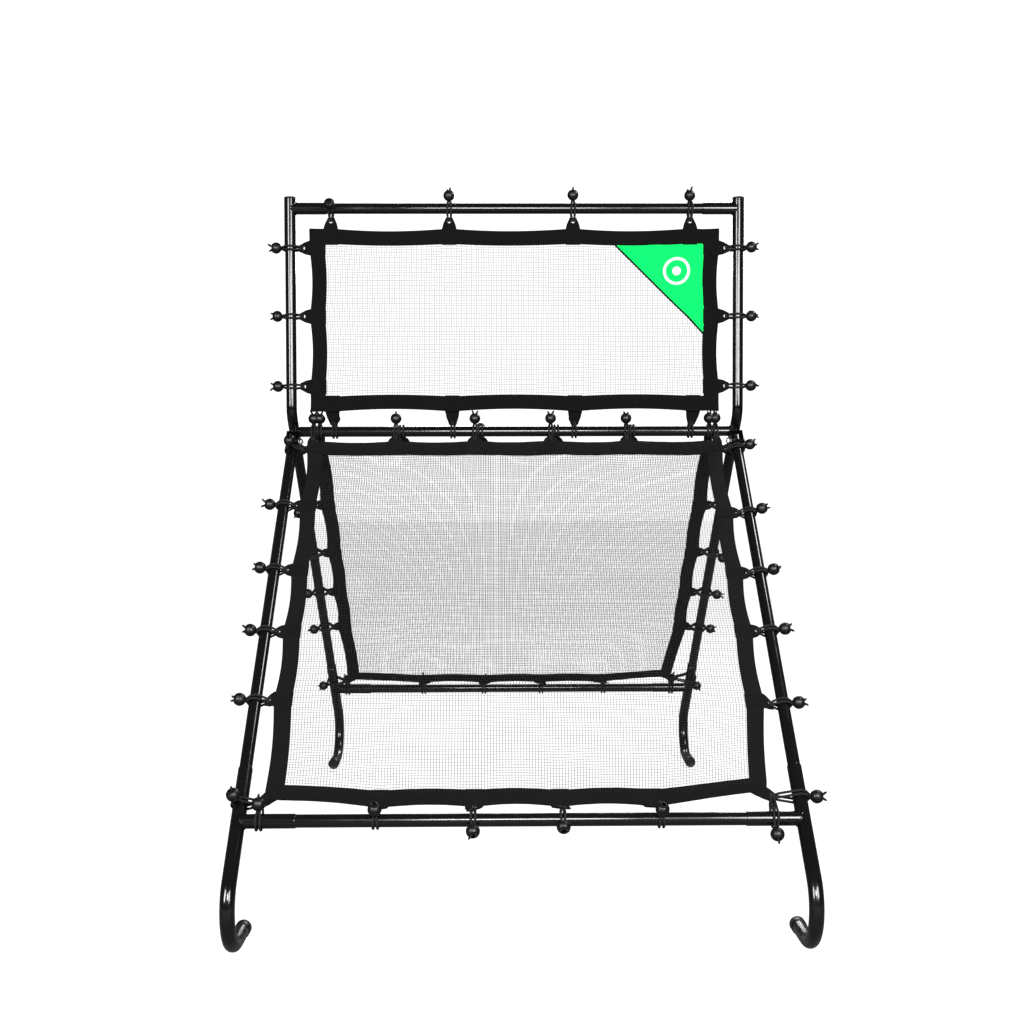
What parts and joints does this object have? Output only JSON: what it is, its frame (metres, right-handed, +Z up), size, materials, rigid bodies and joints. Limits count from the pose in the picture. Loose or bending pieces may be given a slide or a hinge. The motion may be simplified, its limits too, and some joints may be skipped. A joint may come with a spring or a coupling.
{
  "type": "pitch back rebounder",
  "caption": "Folding steel-tube ball rebounder: an upright net over sloping front and rear nets, held by ball bungees, on curved feet.",
  "frame": {"origin": "on the floor, midway between the side tubes and midway between the outermost curves of the front and rear feet", "axes": "+Z up; -Y is the front, the side with the long sloping net that a ball is thrown at; +X to the right seen from the front"},
  "size_m": [1.1829, 1.8161, 1.592],
  "materials": {
    "gloss_black_paint": "gloss black powder coat on steel tube",
    "zinc_plate": "dull zinc plate",
    "black_plastic": "satin moulded plastic",
    "black_netting": "fine open mesh netting",
    "black_webbing": "woven webbing, stitched",
    "black_elastic": "sheathed elastic cord and moulded ball",
    "green_cloth": "bright green coated cloth"
  },
  "bodies": {
    "rear_frame": {"corner_flag": "green_cloth", "front_top_bungee_1": "black_elastic", "front_top_bungee_2": "black_elastic", "front_top_bungee_3": "black_elastic", "front_top_bungee_4": "black_elastic", "front_top_bungee_5": "black_elastic", "front_top_bungee_6": "black_elastic", "hinge_bracket_left": "gloss_black_paint", "hinge_bracket_right": "gloss_black_paint", "middle_crossbar": "gloss_black_paint", "pivot_bolt_left": "zinc_plate", "pivot_bolt_right": "zinc_plate", "pivot_nut_left": "zinc_plate", "pivot_nut_right": "zinc_plate", "rear_border": "black_webbing", "rear_crossbar": "gloss_black_paint", "rear_foot_cap_left": "black_plastic", "rear_foot_cap_right": "black_plastic", "rear_foot_left": "gloss_black_paint", "rear_foot_right": "gloss_black_paint", "rear_net": "black_netting", "side_tube_left": "gloss_black_paint", "side_tube_right": "gloss_black_paint", "top_crossbar": "gloss_black_paint", "upper_border": "black_webbing", "upper_bottom_bungee_1": "black_elastic", "upper_bottom_bungee_2": "black_elastic", "upper_bottom_bungee_3": "black_elastic", "upper_bottom_bungee_4": "black_elastic", "upper_cap_left": "black_plastic", "upper_cap_right": "black_plastic", "upper_corner_left": "gloss_black_paint", "upper_corner_right": "gloss_black_paint", "upper_left_bungee_1": "black_elastic", "upper_left_bungee_2": "black_elastic", "upper_left_bungee_3": "black_elastic", "upper_net": "black_netting", "upper_right_bungee_1": "black_elastic", "upper_right_bungee_2": "black_elastic", "upper_right_bungee_3": "black_elastic", "upper_top_bungee_1": "black_elastic", "upper_top_bungee_2": "black_elastic", "upper_top_bungee_3": "black_elastic", "upper_top_bungee_4": "black_elastic"},
    "front_frame": {"front_border": "black_webbing", "front_crossbar": "gloss_black_paint", "front_foot_cap_left": "black_plastic", "front_foot_cap_right": "black_plastic", "front_foot_left": "gloss_black_paint", "front_foot_right": "gloss_black_paint", "front_leg_left": "gloss_black_paint", "front_leg_right": "gloss_black_paint", "front_net": "black_netting"}
  },
  "joints": [
    {"name": "front_fold", "type": "hinge", "parent": "rear_frame", "child": "front_frame", "pos_m": [0, -0.0384, 0.98225], "axis": [1, 0, 0], "range_deg": [0, 70], "deforming": ["front_top_bungee_1", "front_top_bungee_2", "front_top_bungee_3", "front_top_bungee_4", "front_top_bungee_5", "front_top_bungee_6"]}
  ]
}
